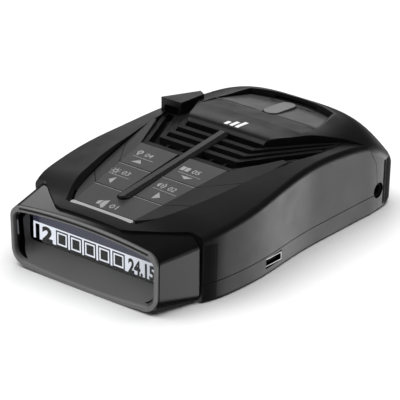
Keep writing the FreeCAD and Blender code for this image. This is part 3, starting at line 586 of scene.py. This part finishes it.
def make_legends():
    """Number, sign, lines and arrow on each key, with painted highlights along its edges, which ride with it.
    """
    numbers = {
        "mute_key": ("01", 1.4, -4.6),
        "sensitivity_key": ("02", 10.0, 12.4),
        "dim_key": ("03", -8.6, 12.6),
        "mark_key": ("04", -9.6, 24.6),
        "menu_key": ("05", 9.8, 24.1),
    }
    signs = pictograms()
    marks = lines_and_arrows()
    # One light grey for the print and for the painted edge highlights.
    ink_and_highlight = MATERIALS["print_and_highlight_grey"]
    for key, (number, u, v) in numbers.items():
        printed = moved(letters(number, NUMBER_WIDTH, NUMBER_HEIGHT), u, v)
        shape = joined([printed, signs[key]] + marks[key])
        inlay(key + "_legend", shape, draped_on_keypad(nodes[key]), key, ink_and_highlight)


def make_emblem():
    """Three plain bars of rising height in front of the release dish."""
    bars = []
    for index, tall in enumerate(EMBLEM_HEIGHTS):
        left = EMBLEM_LEFT + index * EMBLEM_PITCH
        bars.append(rectangle(left, EMBLEM_FOOT, left + EMBLEM_BAR, EMBLEM_FOOT + tall))
    inlay("emblem", joined(bars), draped_from_above(nodes["front_hood"]), "housing",
          MATERIALS["printed_white"], rise=0.03, sink=0.08, piece_length=1.0)


def dish_outline(inset):
    """Outline of the dish drawn inside its walls, or outside them for a negative inset."""
    rear = DISH_REAR + inset
    rear_half = DISH_REAR_HALF - inset
    shoulder = DISH_SHOULDER - inset
    front_half = DISH_FRONT_HALF - inset
    bow = DISH_FRONT - inset
    points = [(-rear_half, rear), (rear_half, rear)]
    steps = 12
    for step in range(steps + 1):
        share = 1.0 - 2.0 * step / steps
        points.append((front_half * share, shoulder + (bow - shoulder) * (1.0 - share * share)))
    return points


def ring_between(outer, inner):
    """Flat sheet between an outer outline and a hole in it."""
    bm = bmesh.new()
    for outline in (outer, inner):
        vertices = [bm.verts.new((u, v, 0.0)) for u, v in outline]
        for index, vertex in enumerate(vertices):
            bm.edges.new((vertex, vertices[(index + 1) % len(vertices)]))
    bmesh.ops.triangle_fill(bm, use_beauty=True, edges=bm.edges[:])
    bm.verts.index_update()
    points = [(vertex.co.x, vertex.co.y) for vertex in bm.verts]
    faces = [tuple(vertex.index for vertex in face.verts) for face in bm.faces]
    bm.free()
    return points, faces


def make_dish_painted_light():
    """Painted light on the dish: a lighter sheet on its floor round the button as painted reflection, a dark
    line along its edge as painted shade, and a light rim as painted highlight.
    """
    pill = []
    for middle, start in ((BUTTON_REACH, 0), (-BUTTON_REACH, 180)):
        for step in range(9):
            turned = math.radians(start + step * 22.5)
            along = BUTTON_MIDDLE + middle + BUTTON_HOLE * math.sin(turned)
            pill.append((BUTTON_HOLE * math.cos(turned), along))
    place = draped_from_above(nodes["front_hood"])
    inlay("dish_floor_painted_reflection", ring_between(dish_outline(0.75), pill), place, "housing", DISH_PAINTED_REFLECTION,
          rise=0.03, sink=0.08, piece_length=1.6)
    inlay("dish_painted_crease_shade", ring_between(dish_outline(0.25), dish_outline(0.75)), place, "housing", PAINTED_SHADE_FINISH,
          rise=0.02, sink=0.08, piece_length=1.6)
    inlay("dish_painted_rim_highlight", ring_between(dish_outline(-0.75), dish_outline(-0.35)), place, "housing", DISH_PAINTED_REFLECTION,
          rise=0.02, sink=0.08, piece_length=1.6)


def draped_from_side(node, side):
    """Placing rule that follows the body's side wall; side is 1 for the right and -1 for the left."""
    tree = tree_of(node)

    def place(y, z, w):
        hit = tree.ray_cast(Vector((60.0 * side, y, z)) * MM, Vector((-side, 0.0, 0.0)))[0]
        return hit + Vector((w * side * MM, 0.0, 0.0))
    return place


def make_collar_shade():
    """Band of painted shade next to the collar on each cover, and the window's edge strip, on both sides."""
    for side, name in ((1, "right"), (-1, "left")):
        for node, low, high in (("bottom_cover", 1.2, 6.2), ("top_cover", 6.65, 19.0)):
            band = rectangle(COLLAR_SHADE_START, low, COLLAR_SHADE_END, high)
            inlay("collar_shade_" + name + "_" + node, band, draped_from_side(nodes[node], side), "housing",
                  PAINTED_SHADE_FINISH, rise=0.02, sink=0.06, piece_length=1.2)
        strip = rectangle(STRIP_START, 1.6, STRIP_END, 16.9)
        inlay("lens_edge_" + name, strip, draped_from_side(nodes["front_hood"], side), "housing",
              MATERIALS["infrared_filter"], rise=0.02, sink=0.06, piece_length=1.2)


def make_lip_line():
    """Painted shade: a dark line along the top of the bezel's face, where the shade in a groove falls."""
    steps = 24
    upper, lower = [], []
    for step in range(steps + 1):
        x = LIP_START + LIP_LENGTH * step / steps
        fall = (LIP_CROWN - LIP_FOOT) * (x / LIP_HALF) ** 2
        upper.append((x, LIP_CROWN - LIP_TOP_DROP - fall))
        lower.append((x, LIP_CROWN - LIP_BOTTOM_DROP - fall))
    points = upper + lower
    faces = [(step, step + 1, steps + 2 + step, steps + 1 + step) for step in range(steps)]

    def place(x, z, w):
        return Vector((x, BEZEL_FACE - w, z)) * MM
    inlay("lip_line", (points, faces), place, "housing", PAINTED_SHADE_FINISH,
          rise=0.012, sink=0.06, piece_length=FLAT)


def make_return_spring():
    """Round-wire coil under the release button."""
    bottom = SPRING_FOOT + WIRE_RADIUS
    climb = SPRING_TOP - WIRE_RADIUS - bottom
    bm = bmesh.new()
    rings = []
    for step in range(SPRING_TURNS * SPRING_STEPS + 1):
        turned = 2 * math.pi * step / SPRING_STEPS
        z = bottom + climb * step / (SPRING_TURNS * SPRING_STEPS)
        ring = []
        for side in range(WIRE_SIDES):
            around = 2 * math.pi * side / WIRE_SIDES
            reach = COIL_RADIUS + WIRE_RADIUS * math.cos(around)
            x = reach * math.cos(turned)
            y = BUTTON_MIDDLE + reach * math.sin(turned)
            ring.append(bm.verts.new(Vector((x, y, z + WIRE_RADIUS * math.sin(around))) * MM))
        rings.append(ring)
    for first, second in zip(rings, rings[1:]):
        for side in range(WIRE_SIDES):
            after = (side + 1) % WIRE_SIDES
            face = bm.faces.new((first[side], first[after], second[after], second[side]))
            face.smooth = True
    bm.faces.new(rings[0])
    bm.faces.new(rings[-1])
    bmesh.ops.recalc_face_normals(bm, faces=bm.faces[:])
    mesh = bpy.data.meshes.new("return_spring")
    bm.to_mesh(mesh)
    bm.free()
    spring = bpy.data.objects.new("return_spring", mesh)
    bpy.context.scene.collection.objects.link(spring)
    mesh.materials.append(MATERIALS["spring_steel"])
    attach(spring, "housing")
    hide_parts("release_spring")
    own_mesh(spring)


def make_grille_cloth():
    """Dark woven cloth right under the grille's fins."""
    right = [(17.0, -9.3), (24.5, 6.0), (27.5, 14.0), (28.5, 27.5), (24.0, 27.5), (16.0, 13.0)]
    left = [(-x, y) for x, y in reversed(right)]
    outline = polygon(left[-1], *right, *left[:-1])

    def place(x, y, w):
        return Vector((x, y, CLOTH_HEIGHT + w)) * MM
    inlay("grille_cloth", outline, place, "housing", CLOTH_FINISH, rise=0.0, sink=0.03, piece_length=FLAT)


def on_panel(name, shape, finish, rise, sink):
    """Thin sheet on the display's panel, between two heights over it."""
    inlay(name, shape, on_display, "housing", MATERIALS[finish], rise=rise, sink=sink, piece_length=FLAT)


def inset_corners(left, low, right, high, inset):
    return [(left + inset, low + inset), (right - inset, low + inset),
            (right - inset, high - inset), (left + inset, high - inset)]


def make_display_picture():
    """Lit area of the panel, with the segments drawn dark on it and light rings in the boxes."""
    glow = rectangle(GLOW_LEFT, GLOW_BOTTOM, GLOW_RIGHT, GLOW_TOP)
    on_panel("display_glow", glow, "display_glow", 0.02, 0.0)
    dusk = rectangle(GLOW_LEFT, GLOW_TOP + 0.01, GLOW_RIGHT, GLOW_TOP + DUSK_HEIGHT)
    on_panel("display_dusk", dusk, "display_dusk", 0.02, 0.0)
    dark = [moved(letters("12", 7.0, 5.0, 0.05), -21.8, 10.1)]
    bright = []
    for index in range(5):
        left = BOX_START + index * BOX_PITCH
        edges = (left, BOX_BOTTOM, left + BOX_SIDE, BOX_TOP)
        dark.append(rectangle(*edges))
        bright.append(ring_between(inset_corners(*edges, BOX_RING), inset_corners(*edges, 2 * BOX_RING)))
    dark.append(moved(letters("24.15", 10.4, 4.9, 0.04), 17.4, 9.9))
    on_panel("display_segments", joined(dark), "display_dark", 0.045, -0.025)
    on_panel("display_rings", joined(bright), "display_glow", 0.07, -0.05)


# ---------------------------------------------------------------- floor, camera and lights

def make_stage():
    """Pale floor, which reflections don't show."""
    mesh = bpy.data.meshes.new("floor")
    reach = FLOOR_REACH
    corners = [(-reach, -reach, 0), (reach, -reach, 0), (reach, reach, 0), (-reach, reach, 0)]
    mesh.from_pydata(corners, [], [(0, 1, 2, 3)])
    floor = bpy.data.objects.new("floor", mesh)
    bpy.context.scene.collection.objects.link(floor)
    paper = surface("paper", grey(0.86), grey(0.88), 0.7, 0.05, 900.0, 0.01, edge=0.0)
    mesh.materials.append(paper)
    floor.visible_glossy = False


def make_camera():
    data = bpy.data.cameras.new("camera")
    data.lens = CAMERA_LENS
    data.sensor_width = SENSOR
    data.clip_start = 0.01
    data.clip_end = 50.0
    camera = bpy.data.objects.new("camera", data)
    camera.location = CAMERA_PLACE
    camera.rotation_euler = [math.radians(turn) for turn in CAMERA_TURN]
    bpy.context.scene.collection.objects.link(camera)
    bpy.context.scene.camera = camera


def softbox(name, place, target, width, height, power):
    data = bpy.data.lights.new(name, "AREA")
    data.shape = "RECTANGLE"
    data.size = width
    data.size_y = height
    data.energy = power
    light = bpy.data.objects.new(name, data)
    light.location = place
    light.rotation_euler = (Vector(target) - Vector(place)).to_track_quat("-Z", "Y").to_euler()
    bpy.context.scene.collection.objects.link(light)
    return light


def smooth_step(tree, source, low, high, value):
    """value times a soft step from low to high."""
    node = tree.nodes.new("ShaderNodeMapRange")
    node.interpolation_type = "SMOOTHSTEP"
    node.inputs["From Min"].default_value = low
    node.inputs["From Max"].default_value = high
    node.inputs["To Min"].default_value = 0.0
    node.inputs["To Max"].default_value = value
    tree.links.new(source, node.inputs["Value"])
    return node.outputs["Result"]


def arithmetic(tree, operation, first, second):
    node = tree.nodes.new("ShaderNodeMath")
    node.operation = operation
    for index, item in enumerate((first, second)):
        if isinstance(item, float):
            node.inputs[index].default_value = item
        else:
            tree.links.new(item, node.inputs[index])
    return node.outputs["Value"]


def towards(tree, direction, aim):
    """Cosine between a direction and a fixed aim."""
    node = tree.nodes.new("ShaderNodeVectorMath")
    node.operation = "DOT_PRODUCT"
    node.inputs[1].default_value = Vector(aim).normalized()
    tree.links.new(direction, node.inputs[0])
    return node.outputs["Value"]


def make_world():
    """Dark studio with soft panels round it and a bright table that fades away to the far left."""
    world = bpy.data.worlds.new("studio")
    world.use_nodes = True
    tree = world.node_tree
    direction = tree.nodes.new("ShaderNodeTexCoord").outputs["Generated"]
    glow = ROOM_GLOW
    for aim, inner, outer, radiance in STUDIO_PANELS:
        cosine = towards(tree, direction, aim)
        low, high = math.cos(math.radians(outer)), math.cos(math.radians(inner))
        panel = smooth_step(tree, cosine, low, high, radiance)
        glow = arithmetic(tree, "ADD", glow, panel)
    below = 0.0
    for low, high, share in TABLE_STEPS:
        step = smooth_step(tree, towards(tree, direction, DOWN), low, high, share)
        below = arithmetic(tree, "ADD", below, step)
    table = smooth_step(tree, towards(tree, direction, TABLE_AIM), *TABLE_SPAN, TABLE_RADIANCE)
    steep = smooth_step(tree, towards(tree, direction, DOWN), *TABLE_NEAR_EDGE, 1.0)
    away = arithmetic(tree, "SUBTRACT", 1.0, steep)
    table = arithmetic(tree, "MULTIPLY", arithmetic(tree, "MULTIPLY", below, table), away)
    glow = arithmetic(tree, "ADD", glow, table)
    behind = smooth_step(tree, towards(tree, direction, BACK_AIM), *BACK_SPAN, BACK_RADIANCE)
    under = smooth_step(tree, towards(tree, direction, DOWN), *BACK_STEP, 1.0)
    glow = arithmetic(tree, "ADD", glow, arithmetic(tree, "MULTIPLY", under, behind))
    background = tree.nodes["Background"]
    background.inputs["Color"].default_value = (1.0, 1.0, 1.0, 1.0)
    tree.links.new(glow, background.inputs["Strength"])
    bpy.context.scene.world = world


def make_lights():
    """World, and a large lamp overhead, which reflections don't show."""
    make_world()
    overhead = softbox("overhead", LAMP_PLACE, LAMP_TARGET, LAMP_SIDE, LAMP_SIDE, LAMP_POWER)
    overhead.visible_glossy = False


make_legends()
make_emblem()
make_dish_painted_light()
make_collar_shade()
make_lip_line()
make_return_spring()
make_grille_cloth()
make_display_picture()
make_stage()
make_camera()
make_lights()
bpy.context.scene.view_settings.view_transform = "Standard"
